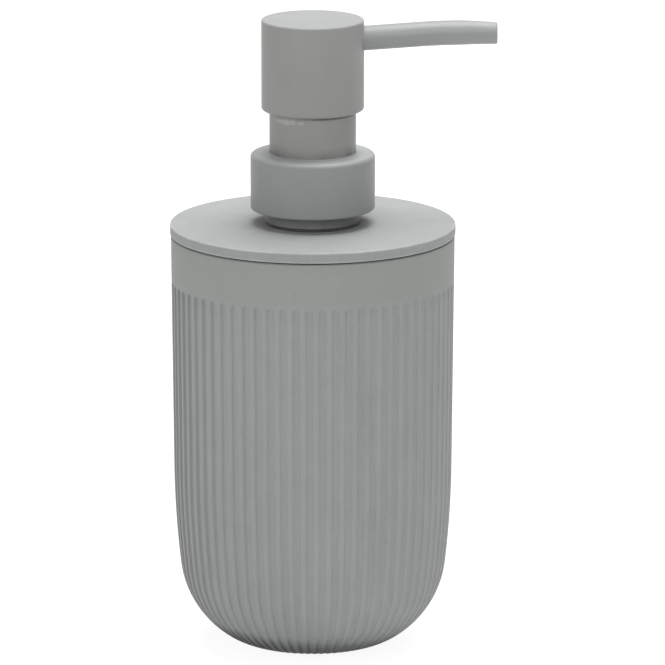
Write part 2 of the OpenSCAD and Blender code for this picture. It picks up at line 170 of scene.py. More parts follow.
def new_node(tree, kind, inputs=(), **settings):
    """Adds a node with its settings, and gives its inputs their values or links."""
    node = tree.nodes.new("ShaderNode" + kind)
    for name, value in settings.items():
        setattr(node, name, value)
    for socket, value in dict(inputs).items():
        if isinstance(value, bpy.types.NodeSocket):
            tree.links.new(value, node.inputs[socket])
        else:
            node.inputs[socket].default_value = value
    return node


def seen_directly(tree):
    """1 for camera, glossy and transmission rays, 0 for the rays that carry diffuse light."""
    rays = new_node(tree, "LightPath").outputs
    seen = rays["Is Camera Ray"]
    for ray in ("Is Glossy Ray", "Is Transmission Ray"):
        seen = new_node(tree, "Math", {0: seen, 1: rays[ray]}, operation="MAXIMUM").outputs[0]
    return seen


def grey(level):
    return (level, level, level, 1)


print("node helpers are ready")

# %% Light the world
WORLD_FILL = 0.06

world = bpy.data.worlds.new("studio")
bpy.context.scene.world = world
world.use_nodes = True
bpy.context.scene.view_settings.view_transform = "Standard"

tree = world.node_tree
tree.nodes.clear()
lit = new_node(tree, "Background", {"Color": grey(1), "Strength": WORLD_FILL})
seen = new_node(tree, "Background", {"Color": grey(1), "Strength": 1.0})
mix = new_node(tree, "MixShader", {0: seen_directly(tree), 1: lit.outputs[0], 2: seen.outputs[0]})
new_node(tree, "OutputWorld", {"Surface": mix.outputs[0]})
print("the world fills in at", WORLD_FILL)

# %% Lay the floor
FLOOR_TONE = 0.82
FLOOR_GLOW = 0.92
FLOOR_SHADOW_TONE = 0.22
FLOOR_NEAR, FLOOR_FAR = 0.15, 0.5
FLOOR_SIZE, FLOOR_GAP = 8, 0.2 * MM

floor_material = bpy.data.materials.new("pale_floor")
floor_material.use_nodes = True
tree = floor_material.node_tree
tree.nodes.clear()
place = new_node(tree, "TexCoord").outputs["Object"]
away = new_node(tree, "VectorMath", {0: place}, operation="LENGTH").outputs["Value"]
fade = {"Value": away, "From Min": FLOOR_NEAR, "From Max": FLOOR_FAR, "To Min": FLOOR_GLOW, "To Max": 1.0}
glow = new_node(tree, "Emission", {"Strength": new_node(tree, "MapRange", fade).outputs["Result"]})
shadowed = new_node(tree, "BsdfDiffuse", {"Color": grey(FLOOR_SHADOW_TONE)})
lit = new_node(tree, "BsdfDiffuse", {"Color": grey(FLOOR_TONE)})
seen = new_node(tree, "AddShader", {0: shadowed.outputs[0], 1: glow.outputs[0]})
mix = new_node(tree, "MixShader", {0: seen_directly(tree), 1: lit.outputs[0], 2: seen.outputs[0]})
new_node(tree, "OutputMaterial", {"Surface": mix.outputs[0]})

bpy.ops.mesh.primitive_plane_add(size=FLOOR_SIZE, location=(0, 0, -FLOOR_GAP))
floor = bpy.context.active_object
floor.name = "floor"
floor.data.materials.append(floor_material)
print("the floor is in place")

# %% [markdown]
# ## Building a material, node by node
#
# All the finishes share one short recipe: a Principled shader, with a few noise textures that
# vary its colour and its bump. The textures read object coordinates in metres, so their scale
# is real: a scale of 900 gives a grain of about a millimetre.

# %% Helpers for materials


class Finish:
    """A new material with a Principled shader, and short calls for the nodes round it."""

    def __init__(self, name, roughness, specular=0.5):
        self.material = bpy.data.materials.new(name)
        self.material.use_nodes = True
        self.tree = self.material.node_tree
        self.shader = self.tree.nodes["Principled BSDF"]
        self.set("Roughness", roughness)
        self.set("Specular IOR Level", specular)
        self.coordinates = self.node("TexCoord").outputs["Object"]

    def set(self, socket, value):
        self.shader.inputs[socket].default_value = value

    def drive(self, socket, value):
        self.tree.links.new(value, self.shader.inputs[socket])

    def node(self, kind, inputs=(), **settings):
        return new_node(self.tree, kind, inputs, **settings)

    def moved(self, shift=(0, 0, 0), scale=(1, 1, 1)):
        """The coordinates moved and stretched: a small scale along Z draws a pattern out upwards."""
        values = {"Vector": self.coordinates, "Location": shift, "Scale": scale}
        return self.node("Mapping", values).outputs["Vector"]

    def noise(self, scale, detail=3.0, roughness=0.55, where=None):
        place = where or self.coordinates
        values = {"Vector": place, "Scale": scale, "Detail": detail, "Roughness": roughness}
        return self.node("TexNoise", values).outputs["Fac"]

    def specks(self, scale, size, share, where=None):
        """1 on scattered round specks and 0 between: only a share of the cells has one."""
        cells = self.node("TexVoronoi", {"Vector": where or self.coordinates, "Scale": scale}).outputs
        draw = self.node("SeparateColor", {0: cells["Color"]}).outputs[0]
        near = self.span(cells["Distance"], size * 0.5, size, 1, 0)
        return self.product(near, self.math("LESS_THAN", draw, share))

    def axes(self):
        """The x, y and z coordinates, as separate values."""
        split = self.node("SeparateXYZ", {0: self.coordinates}).outputs
        return split["X"], split["Y"], split["Z"]

    def distance(self, *offsets):
        """The length of a few offsets at right angles: pairs of a value and its centre."""
        total = 0.0
        for value, center in offsets:
            offset = self.math("SUBTRACT", value, center)
            total = self.math("ADD", self.product(offset, offset), total)
        return self.math("SQRT", total)

    def near_round_edges(self, edges, width):
        """1 on round edges about the pump's axis, given as (radius, height), and 0 past a width."""
        x, y, z = self.axes()
        out = self.distance((x, 0.0), (y, 0.0))
        edge_highlight = 0.0
        for r, height in edges:
            near = self.span(self.distance((out, r), (z, height)), width * 0.4, width, 1, 0)
            edge_highlight = self.math("MAXIMUM", near, edge_highlight)
        return edge_highlight

    def blend(self, *shares):
        """A weighted sum: pairs of a value and its weight."""
        total = 0.0
        for value, weight in shares:
            total = self.math("ADD", self.product(value, weight), total)
        return total

    def product(self, first, *others):
        for other in others:
            first = self.math("MULTIPLY", first, other)
        return first

    def span(self, value, low, high, to_low=0.0, to_high=1.0):
        """Maps low..high to to_low..to_high, and holds the ends."""
        ends = {"From Min": low, "From Max": high, "To Min": to_low, "To Max": to_high}
        return self.node("MapRange", {"Value": value, **ends}).outputs["Result"]

    def patchy(self, scale, low, high=1.0, ends=(0.3, 0.7)):
        """Soft patches between two levels, which break up a mark that would be too even."""
        return self.span(self.noise(scale), *ends, low, high)

    def math(self, operation, a, b=0.0):
        return self.node("Math", {0: a, 1: b}, operation=operation).outputs[0]

    def mix(self, factor, a, b):
        return self.node("Mix", {"Factor": factor, "A": a, "B": b}, data_type="RGBA").outputs["Result"]

    def shades(self, factor, dark, light):
        """Sets the base colour to a mix of two colours."""
        self.drive("Base Color", self.mix(factor, (*dark, 1), (*light, 1)))

    def overlay(self, factor, color):
        """Lays one more colour over the base colour, where the factor is above 0."""
        before = self.shader.inputs["Base Color"].links[0].from_socket
        self.drive("Base Color", self.mix(factor, before, (*color, 1)))

    def rough(self, value):
        self.drive("Roughness", value)

    def bump(self, height, distance, strength=1.0):
        """Stacks a bump on the ones before it."""
        values = {"Height": height, "Distance": distance, "Strength": strength}
        before = self.shader.inputs["Normal"]
        if before.is_linked:
            values["Normal"] = before.links[0].from_socket
        self.drive("Normal", self.node("Bump", values).outputs["Normal"])


def tone(level, tint=(1, 1, 1)):
    """A near-neutral grey, with the tint of its pigment."""
    return tuple(level * share for share in tint)


print("material helpers are ready")

# %% [markdown]
# ## Cast stone
#
# The cup and the lid are cast from resin and stone powder. The surface is dead matte and a
# touch green, with a fine powdery grain and slow cloudy changes of tone from the mix. It has
# faint upright streaks where the resin ran down the mould, rare pinholes where air was
# caught, and a few pale crumbs of stone. Noises of different scale give the grain and the
# clouds, noise stretched upwards the streaks, and sparse Voronoi cells the pinholes and
# crumbs. An image wrapped round the cup would show a seam, and these have none.

# %% Mix the stone
STONE = 0.365
STONE_TINT = (0.962, 1.0, 0.982)


def plain_stone():
    finish = Finish("cast_stone", roughness=0.66, specular=0.35)
    finish.set("Diffuse Roughness", 0.2)
    clouds = finish.noise(24, detail=4)
    mottle = finish.noise(170)
    grain = finish.noise(1400, detail=2)
    streaks = finish.noise(420, detail=2, where=finish.moved(scale=(1, 1, 0.05)))
    pits = finish.specks(420, 0.11, 0.10)
    crumbs = finish.specks(480, 0.11, 0.08, where=finish.moved(shift=(0.3, 0.1, 0.2)))
    mixed = finish.blend((clouds, 0.40), (mottle, 0.22), (grain, 0.14), (streaks, 0.24))
    shade = finish.span(mixed, 0.36, 0.64)
    marked = finish.math("ADD", shade, finish.blend((pits, -1.4), (crumbs, 0.9)))
    finish.shades(marked, tone(STONE * 0.93, STONE_TINT), tone(STONE * 1.07, STONE_TINT))
    finish.rough(finish.span(clouds, 0.3, 0.7, 0.60, 0.72))
    finish.bump(grain, 0.03 * MM, 0.5)
    finish.bump(pits, -0.15 * MM, 0.8)
    finish.bump(mottle, 0.08 * MM, 0.5)
    return finish


print("stone of tone", STONE)

# %% [markdown]
# ## Wear, painted shade and painted highlights on the stone
#
# Matte stone shows where it has been, and shade and light are also painted into its colour.
# The foot is painted darker towards the bottom, most on the left and in the flutes: a
# painted contact shadow. Higher up, one wall of each flute and the flutes' round ends are
# painted darker, most on the left and a little on the far right: painted shade. Hands leave
# the plain band a little darker and warmer, and the lid's two edges get painted highlights.
# Each mark is a mask from the surface's own coordinates: a height for the foot and the band,
# a wave round the cup for the flutes, and a distance to a circle for an edge. So every mark
# stays where it is from any side.

# %% Place the marks
FLUTES = 68
FLUTE_TURN = 0.78
# The wall of each flute that gets painted shade.
SHADED_WALL_TURN = FLUTE_TURN - 0.27
BAND = 11.9 * MM
BAND_LOW = cup_top - BAND
BAND_BLUR = 1.5 * MM
# Heights of the painted shadow at the foot: the stone is painted darker towards the bottom, higher on the
# left, and darker still in the flutes.
FOOT_SHADE_LOW, FOOT_SHADE_HIGH = cup_base + 2.3 * MM, cup_base + 6.4 * MM
FOOT_SHADE_TILT = 0.07
GROOVE_SHADE_LOW, GROOVE_SHADE_HIGH = cup_base + 1.9 * MM, cup_base + 7.9 * MM
# Width and level of the painted highlights along the lid's two edges.
HIGHLIGHT_WIDTH = 0.55 * MM
HIGHLIGHT_LEVEL = 1.35
HANDLED_TINT = (0.962, 1.0, 0.95)
print(f"band from {BAND_LOW / MM:.1f} mm up, damp up to {GROOVE_SHADE_HIGH / MM:.1f} mm")

# %% Mark the band, paint shade in the flutes and at the foot, and highlights on the edges


def flute_floors(finish):
    """1 along one wall and the floor of each flute, 0 on the ridges between."""
    x, y, _ = finish.axes()
    turn = finish.product(finish.math("ARCTAN2", y, x), FLUTES)
    wave = finish.math("COSINE", finish.math("SUBTRACT", turn, 2 * math.pi * SHADED_WALL_TURN))
    return finish.span(wave, 0.1, 0.9)


def handled_band(finish):
    z = finish.axes()[2]
    above = finish.span(z, BAND_LOW - BAND_BLUR, BAND_LOW + BAND_BLUR, 0, 0.7)
    below = finish.math("LESS_THAN", z, cup_top + 0.05 * MM)
    finish.overlay(finish.product(above, below), tone(STONE * 0.92, HANDLED_TINT))


# Painted shade: one wall of each flute and the flutes' round ends are painted darker, most on the left of
# the cup and a little on the far right.
def painted_flute_shade(finish):
    x, _, z = finish.axes()
    shade_amount = finish.blend(
        (finish.span(x, -cup_r, -0.2 * cup_r, 0.30, 0.02), 1.0),
        (finish.span(x, -0.92 * cup_r, -0.6 * cup_r, 0.40, 0), 1.0),
        (finish.span(x, 0.7 * cup_r, cup_r, 0, 0.25), 1.0),
        (finish.span(z, BAND_LOW - 4 * MM, BAND_LOW, 0, 0.15), 1.0),
    )
    fluted = finish.math("LESS_THAN", z, BAND_LOW - 0.3 * MM)
    finish.overlay(finish.product(flute_floors(finish), shade_amount, fluted), tone(STONE * 0.6, STONE_TINT))


# Painted contact shadow: the foot is painted darker towards the bottom, most on the left and in the
# flutes.
def painted_foot_shadow(finish):
    x, _, z = finish.axes()
    level = finish.blend((z, 1.0), (x, FOOT_SHADE_TILT))
    foot_shade = finish.product(finish.span(level, FOOT_SHADE_LOW, FOOT_SHADE_HIGH, 0.85, 0), finish.patchy(170, 0.85))
    finish.overlay(foot_shade, tone(STONE * 0.18, STONE_TINT))
    groove_shade = finish.product(flute_floors(finish), finish.span(z, GROOVE_SHADE_LOW, GROOVE_SHADE_HIGH, 0.75, 0))
    finish.overlay(groove_shade, tone(STONE * 0.10, STONE_TINT))


# Painted highlights: a pale line is painted along both of the lid's edges.
def painted_edge_highlights(finish):
    edge_highlight = finish.near_round_edges([(lid_r, lid_top), (lid_r, lid_low)], HIGHLIGHT_WIDTH)
    patchy = finish.patchy(170, 0.35, 0.8, ends=(0.35, 0.6))
    finish.overlay(finish.product(edge_highlight, patchy), tone(STONE * HIGHLIGHT_LEVEL, STONE_TINT))


stone_finish = plain_stone()
for mark in (handled_band, painted_flute_shade, painted_foot_shadow, painted_edge_highlights):
    mark(stone_finish)
stone = stone_finish.material
print("made", stone.name, "with", len(stone.node_tree.nodes), "nodes")

# %% [markdown]
# ## Grey lacquer
#
# The pump's shells are lacquered to match the cup. The lacquer is smoother than the stone,
# so it holds a soft sheen over a faint orange-peel ripple. The pieces are sprayed apart, so
# each coat has its own cast: the head is warmest, the spout cooler, the collar darkest. One
# material could serve them all, but it would lose these casts. So one recipe makes a coat
# for each. Later the collar and the head get painted light, and the sleeve gets real wear
# and painted shade.

# %% Make lacquer
LACQUER = 0.316
COLLAR_LACQUER = 0.307
HEAD_TINT = (0.99, 1.0, 0.962)
TOP_LIGHT_TINT = (0.975, 1.0, 1.01)
SPOUT_TINT = (0.972, 1.0, 0.985)
COLLAR_TINT = (0.958, 1.0, 0.982)


def grey_lacquer(name, level, tint, sheen=0.27):
    finish = Finish(name, roughness=0.44, specular=sheen)
    clouds = finish.noise(55)
    specks = finish.specks(260, 0.14, 0.05)
    shade = finish.math("SUBTRACT", finish.span(clouds, 0.35, 0.65), specks)
    finish.shades(shade, tone(level * 0.97, tint), tone(level * 1.03, tint))
    finish.rough(finish.span(clouds, 0.3, 0.7, 0.40, 0.50))
    finish.bump(finish.noise(750, detail=2), 0.02 * MM, 0.4)
    finish.bump(finish.noise(150, detail=2), 0.05 * MM, 0.35)
    return finish


spout_lacquer = grey_lacquer("spout_lacquer", LACQUER, SPOUT_TINT, sheen=0.40).material
print("made", spout_lacquer.name)

# %% [markdown]
# ## Plastics, rubber and steel
#
# The inner pieces are plain mouldings, but each has its own feel: milky polypropylene lets
# some light in, nylon is whiter and duller, rubber is dark and soft, the wire is bright with
# fine lines from drawing, and the ball is polished. The mouldings differ only in colour,
# roughness, grain and how much light they let in, so one function makes them all.

# %% Make the inner finishes


def moulded(name, color, roughness, glow=0.0, grain=0.02 * MM):
    finish = Finish(name, roughness)
    clouds = finish.noise(90)
    dark = tuple(c * 0.95 for c in color)
    finish.shades(finish.span(clouds, 0.35, 0.65), dark, color)
    finish.rough(finish.span(clouds, 0.3, 0.7, roughness - 0.05, roughness + 0.05))
    finish.bump(finish.noise(1200, detail=2), grain, 0.5)
    if glow:
        finish.set("Subsurface Weight", glow)
        finish.set("Subsurface Radius", (4 * MM, 4 * MM, 3.5 * MM))
    return finish.material


def steel(name, roughness, marks, greys, polish, grooves=0.0):
    """Bare steel: marks of a scale and a detail vary its grey and its roughness."""
    finish = Finish(name, roughness)
    finish.set("Metallic", 1.0)
    lines = finish.noise(*marks)
    finish.shades(lines, *[(level, level, level + 0.01) for level in greys])
    finish.rough(finish.span(lines, 0.3, 0.7, *polish))
    if grooves:
        finish.bump(lines, grooves, 0.4)
    return finish.material


black_rubber = moulded("black_rubber", tone(0.04), 0.6, grain=0.03 * MM)
seal_rubber = moulded("seal_rubber", tone(0.06), 0.7)
foam_rubber = moulded("foam_rubber", tone(0.05), 0.85, grain=0.08 * MM)
nylon = moulded("nylon", tone(0.72, (1, 1, 0.97)), 0.5)
natural_plastic = moulded("natural_plastic", (0.76, 0.76, 0.73), 0.38, glow=0.25)
seal_plastic = moulded("seal_plastic", (0.80, 0.80, 0.78), 0.45, glow=0.15)
wire_steel = steel("drawn_steel", 0.28, (900, 4), (0.50, 0.68), (0.20, 0.38), grooves=0.01 * MM)
ball_steel = steel("polished_steel", 0.1, (400, 3), (0.68, 0.78), (0.06, 0.16))
tube_plastic = moulded("tube_plastic", (0.72, 0.73, 0.72), 0.32, glow=0.35)
print("materials:", len(bpy.data.materials))

# %% [markdown]
# ## Turning a profile
#
# Nearly every piece here is round. Cylinders with bevels could make them, but a lathe does it
# in one go: it takes the outline of a piece's section as (radius, height) points and spins it
# about the pump's axis. Arcs in the outline are real arcs with enough points. Edges that
# turn sharply stay crisp because they are marked sharp, and everything else is shaded smooth.

# %% Draw outlines


def arc(center, r, start, end, count=8):
    """Points of an arc about (radius, height) center, with angles in degrees."""
    points = []
    for i in range(count + 1):
        a = math.radians(start + (end - start) * i / count)
        points.append((center[0] + r * math.cos(a), center[1] + r * math.sin(a)))
    return points


def round_corners(points, count=6):
    """Turns (radius, height, rounding) corners into an outline with true arcs."""
    outline = []
    for i, (r, z, rounding) in enumerate(points):
        here = Vector((r, z))
        if not rounding:
            outline.append((r, z))
            continue
        before = (Vector(points[i - 1][:2]) - here).normalized()
        after = (Vector(points[(i + 1) % len(points)][:2]) - here).normalized()
        half = before.angle(after) / 2
        reach = rounding / math.tan(half)
        center = here + (before + after).normalized() * (rounding / math.sin(half))
        first, last = here + before * reach - center, here + after * reach - center
        a0, a1 = math.atan2(first.y, first.x), math.atan2(last.y, last.x)
        turn = (a1 - a0 + math.pi) % (2 * math.pi) - math.pi
        for k in range(count + 1):
            a = a0 + turn * k / count
            outline.append((center.x + rounding * math.cos(a), center.y + rounding * math.sin(a)))
    return outline


print("an arc has", len(arc((0, 0), 1, 0, 90)), "points")

# %% Turn outlines into meshes
SEGMENTS = 192


def skin(rings, closed=True):
    """A mesh through rings of points: each ring joins the next, and a closed one joins the first."""
    bm = bmesh.new()
    rows = [[bm.verts.new(p) for p in ring] for ring in rings]
    following = rows[1:] + rows[:1] if closed else rows[1:]
    for low, high in zip(rows, following):
        count = len(low)
        for k in range(count):
            bm.faces.new((low[k], low[(k + 1) % count], high[(k + 1) % count], high[k]))
    return bm


def finished(bm, name):
    """Welds doubled points, drops faces of no area, points all normals outwards."""
    bmesh.ops.remove_doubles(bm, verts=bm.verts, dist=1e-6)
    bmesh.ops.dissolve_degenerate(bm, edges=bm.edges, dist=1e-7)
    bmesh.ops.recalc_face_normals(bm, faces=bm.faces)
    mesh = bpy.data.meshes.new(name)
    bm.to_mesh(mesh)
    bm.free()
    return mesh


def turned(name, outline, segments=SEGMENTS):
    """A lathe: spins a closed outline of (radius, height) points about the Z axis."""
    angles = [2 * math.pi * k / segments for k in range(segments)]
    rings = [[(r * math.cos(a), r * math.sin(a), z) for a in angles] for r, z in outline]
    return finished(skin(rings), name)


print("an outline is turned in", SEGMENTS, "steps")

# %% Make a mesh a piece
CREASE = math.radians(32)


def piece(name, mesh, material, body, replaced=()):
    """Makes a mesh an object that rides on a body, with its finish."""
    mesh.validate()
    for face in mesh.polygons:
        face.use_smooth = True
    mesh.set_sharp_from_angle(angle=CREASE)
    obj = bpy.data.objects.new(name, mesh)
    bpy.context.scene.collection.objects.link(obj)
    mesh.materials.clear()
    mesh.materials.append(material)
    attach(obj, body)
    if replaced:
        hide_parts(*replaced)
    return obj


def turned_piece(name, outline, material, body, replaced, segments=SEGMENTS):
    """Turns an outline and hands it over as a piece."""
    return piece(name, turned(name, outline, segments), material, body, replaced)


print(f"edges of over {math.degrees(CREASE):.0f} degrees stay sharp")

# %% [markdown]
# ## The fluted cup
#
# The cup is cast in one mould. Its wall narrows by half a degree of draft on the way down,
# then draws in through a slow curve and two arcs to a small foot. Sixty-eight flutes run up
# the wall and stop in rounded ends under a plain band. A displacement texture could fake
# them, but then the outline would stay smooth. So we build real grooves: each ring of the
# wall has seventeen points a flute, the land between two flutes stays on the wall, and the
# groove has steep sides and a flat floor, so that it shades as one soft dark stripe. The
# cup's thick floor closes the inside, and a shallow round hollow in the foot takes the pad.

# %% Size the cup from the frame
FLUTE_DEPTH = 0.5 * MM
FLUTE_SHARE = 0.62
RUN_OUT = 1.7 * MM
WALL = 4.0 * MM
FLOOR = 5.0 * MM
DRAFT = math.radians(0.55)
FOOT_ARC, HEEL_ARC, BELLY_ARC = 15.8 * MM, 25.9 * MM, 256 * MM
FOOT_TURN, HEEL_TURN, WALL_TURN = math.radians(33), math.radians(33 + 50.4), math.pi / 2 - DRAFT

cup_height = cup_top - cup_base
flute_top = cup_height - BAND


def wall_at(z):
    """Radius of the drafted wall at a height above the foot."""
    return cup_r - (cup_height - z) * math.tan(DRAFT)


wall_low = (
    FOOT_ARC * (1 - math.cos(FOOT_TURN))
    + HEEL_ARC * (math.cos(FOOT_TURN) - math.cos(HEEL_TURN))
    + BELLY_ARC * (math.cos(HEEL_TURN) - math.cos(WALL_TURN))
)
foot_flat = (
    wall_at(wall_low)
    - FOOT_ARC * math.sin(FOOT_TURN)
    - HEEL_ARC * (math.sin(HEEL_TURN) - math.sin(FOOT_TURN))
    - BELLY_ARC * (math.sin(WALL_TURN) - math.sin(HEEL_TURN))
)
print(f"flat foot {2 * foot_flat / MM:.1f} mm across, flutes end at {flute_top / MM:.1f} mm")

# %% Draw the cup's side


def cup_side(inset=0.0, counts=(10, 16, 14)):
    """(radius, height) points up the rounded lower wall, moved in by an inset."""
    stretches = (
        (FOOT_ARC, 0.0, FOOT_TURN, counts[0]),
        (HEEL_ARC, FOOT_TURN, HEEL_TURN, counts[1]),
        (BELLY_ARC, HEEL_TURN, WALL_TURN, counts[2]),
    )
    r, z, points = foot_flat, 0.0, []
    for size, start, end, count in stretches:
        for i in range(count + 1):
            a = start + (end - start) * i / count
            x = r + size * (math.sin(a) - math.sin(start)) - inset * math.sin(a)
            y = z + size * (math.cos(start) - math.cos(a)) + inset * math.cos(a)
            points.append((x, y))
        r += size * (math.sin(end) - math.sin(start))
        z += size * (math.cos(start) - math.cos(end))
    return [p for i, p in enumerate(points) if i == 0 or math.dist(p, points[i - 1]) > 1e-6]


side = cup_side()
print("points up the rounded wall:", len(side), f"straight from {side[-1][1] / MM:.1f} mm")

# %% Cut the flutes
LAND_POINTS = 3
GROOVE_POINTS = 15
SECTION_FLATNESS, SECTION_EDGE = 4, 1.3
FLUTE_MARGIN, FLUTE_FADE = 0.2 * MM, 1.5 * MM
END_WIDTH = 0.35
WALL_RINGS, END_RINGS = 8, 10


def flute_reach(r, z):
    """How deep and how wide, from 0 to 1, the flutes are at a point of the wall."""
    fade = min(1.0, max(0.0, (r - foot_flat - FLUTE_MARGIN) / FLUTE_FADE))
    into = max(0.0, min(1.0, (flute_top - z) / RUN_OUT))
    end = math.sqrt(max(0.0, 1 - (1 - into) ** 2))
    return fade * end * math.sqrt(r / cup_r), max(END_WIDTH, end)


def fluted_ring(r, z):
    """One ring of the wall: for each flute, a groove of smooth section and the land after it."""
    depth_share, width_share = flute_reach(r, z)
    pitch = 2 * math.pi / FLUTES
    half = pitch * FLUTE_SHARE / 2 * width_share
    points = []
    for k in range(FLUTES):
        offsets = []
        for i in range(GROOVE_POINTS):
            t = math.sin(math.pi / 2 * (2 * i / (GROOVE_POINTS - 1) - 1))
            sink = max(0.0, 1 - t ** SECTION_FLATNESS) ** SECTION_EDGE
            offsets.append((half * t, FLUTE_DEPTH * depth_share * sink))
        for i in range(1, LAND_POINTS):
            offsets.append((half + (pitch - 2 * half) * i / LAND_POINTS, 0.0))
        for offset, depth in offsets:
            a = (k + FLUTE_TURN) * pitch + offset
            points.append(((r - depth) * math.cos(a), (r - depth) * math.sin(a), cup_base + z))
    return points


straight_low, ends_low = side[-1][1], flute_top - RUN_OUT
wall_heights = []
for i in range(1, WALL_RINGS + 1):
    wall_heights.append(straight_low + (ends_low - straight_low) * i / WALL_RINGS)
for i in range(1, END_RINGS + 1):
    wall_heights.append(ends_low + RUN_OUT * math.sin(math.pi / 2 * i / END_RINGS))
around = FLUTES * (GROOVE_POINTS + LAND_POINTS - 1)
print("points round the cup:", around)

# %% Build the cup
RIM_EDGE = 0.4 * MM
PLAIN_GAP = 0.4 * MM
FLOOR_EASE = 0.5 * MM
INSIDE_COUNTS = (3, 7, 5)
PAD_RIM, PAD_GAP = 1.7 * MM, 0.1 * MM
PAD_SINK = span("base_pad")[1] - cup_base

plain_low = flute_top + PLAIN_GAP
rim = arc((cup_r - RIM_EDGE, cup_height - RIM_EDGE), RIM_EDGE, -math.degrees(DRAFT), 90, 6)
mouth = cup_r - WALL
inside = [p for p in cup_side(WALL, INSIDE_COUNTS) if p[1] > FLOOR]
cavity = [(mouth, cup_height)] + inside[::-1] + [(inside[0][0] - FLOOR_EASE, FLOOR)]
section = side + [(wall_at(z), z) for z in wall_heights + [plain_low]] + rim + cavity
bm = skin([fluted_ring(r, z) for r, z in section], closed=False)
bm.verts.ensure_lookup_table()
last = len(bm.verts) - around
bm.faces.new([bm.verts[last + k] for k in range(around)][::-1])
pad_hole = foot_flat - PAD_RIM + PAD_GAP
foot_ring = [bm.verts[k] for k in range(around)]
for z in (0.0, PAD_SINK):
    level = Vector((0, 0, cup_base + z))
    row = [bm.verts.new((v.co.xy.normalized() * pad_hole).to_3d() + level) for v in foot_ring]
    for k in range(around):
        bm.faces.new((foot_ring[k], foot_ring[(k + 1) % around], row[(k + 1) % around], row[k]))
    foot_ring = row
bm.faces.new(foot_ring)
cup = piece("fluted_cup", finished(bm, "fluted_cup"), stone, "bottle", ["cup"])
print("cup faces:", len(cup.data.polygons))

# %% [markdown]
# ## The lid
#
# The lid is a flat disc of the same cast stone, a hair wider than the cup. Its two edges are
# eased, so that each catches a thin line of light. Below, it has a ring that centres it in
# the mouth and a hub that the lock nut pulls against. It sits on a thin dark seal, which
# reads as a fine shadow line. Disc, ring and hub could be three pieces joined, but they are
# one casting, so one outline turns them all. It is the widest, so it gets more steps round.

# %% Turn the lid
LID_EDGE, LID_FOOT = 0.42 * MM, 0.22 * MM
WASHER_SEAT = 1.35 * MM
HUB_RIM = 1.5 * MM
RING_GAP, RING_WALL = 0.2 * MM, 3.2 * MM
washer_r = radius("neck_washer")
lid_hole = washer_r - WASHER_SEAT
ring_r = mouth - RING_GAP
ring_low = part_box("lid")[0].z
hub_low = span("neck_nut")[1]
hub_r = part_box("neck_nut")[1].x + HUB_RIM

lid_outline = round_corners([
    (lid_hole, lid_top, 0.1 * MM),
    (lid_hole, hub_low, 0.1 * MM),
    (hub_r, hub_low, 0.3 * MM),
    (hub_r, lid_low, 0.3 * MM),
    (ring_r - RING_WALL, lid_low, 0.3 * MM),
    (ring_r - RING_WALL, ring_low, 0.4 * MM),
    (ring_r, ring_low, 0.4 * MM),
    (ring_r, lid_low, 0.1 * MM),
    (lid_r, lid_low, LID_FOOT),
    (lid_r, lid_top, LID_EDGE),
])
turned_piece("lid_disc", lid_outline, stone, "bottle", ["lid"], segments=256)
print(f"lid {(lid_top - lid_low) / MM:.1f} mm thick with a hole of {2 * lid_hole / MM:.1f} mm")

# %% [markdown]
# ## The neck and its washer
#
# The neck is a separate moulding that stands on a black washer and is held by the nut under
# the lid. Its lower part is painted paler, most on the left: painted light, standing in for
# light thrown up from the lid. Its top is hidden by the collar, but it carries the thread,
# which shows when the pump is lifted out. A Screw modifier could wind the thread, but its
# ends would stop dead. So we sweep a ridge along a helix ourselves, and fade its ends out.

# %% Paint light on the neck's foot
washer_low, neck_foot = span("neck_washer")
NECK_LIGHT_HIGH = neck_foot + 2.4 * MM


def neck_with_painted_light():
    """Grey plastic, painted paler low down, most on the left: painted light from the lid."""
    finish = Finish("neck_plastic", roughness=0.32)
    clouds = finish.noise(90)
    finish.shades(finish.span(clouds, 0.35, 0.65), tone(0.145, STONE_TINT), tone(0.16, STONE_TINT))
    x, _, z = finish.axes()
    # Painted light: the neck's lower part is painted paler, most on the left, standing in for light
    # thrown up from the lid.
    low = finish.span(z, neck_foot + 0.3 * MM, NECK_LIGHT_HIGH, 0.85, 0)
    less_right = finish.span(x, 0.0, 12 * MM, 1, 0.35)
    painted_tone = finish.product(low, finish.patchy(260, 0.6, ends=(0.35, 0.6)), less_right)
    finish.overlay(painted_tone, tone(0.29, STONE_TINT))
    finish.rough(finish.span(clouds, 0.3, 0.7, 0.28, 0.38))
    finish.bump(finish.noise(1200, detail=2), 0.02 * MM, 0.5)
    return finish.material


# The pale foot of the neck is painted light.
neck_plastic = neck_with_painted_light()
print("soap dried up to", round(NECK_LIGHT_HIGH / MM, 1), "mm")

# %% Turn the neck
NECK_OVERHANG = 0.1 * MM
HOLE_FIT = 0.1 * MM
RIM_SEAT = 3.7 * MM
neck_r = washer_r + NECK_OVERHANG
neck_low, neck_top = span("neck_insert")
neck_bore = radius("pump_cylinder") - RIM_SEAT
tail_r = lid_hole - HOLE_FIT
neck_outline = round_corners([
    (neck_bore, neck_top, 0.3 * MM),
    (neck_bore, neck_low, 0.2 * MM),
    (tail_r, neck_low, 0.3 * MM),
    (tail_r, neck_foot, 0),
    (neck_r, neck_foot, 0.2 * MM),
    (neck_r, neck_top, 0.4 * MM),
])
turned_piece("neck", neck_outline, neck_plastic, "bottle", ["neck_insert"])
print(f"neck {2 * neck_r / MM:.1f} mm over, bore {2 * neck_bore / MM:.1f} mm")

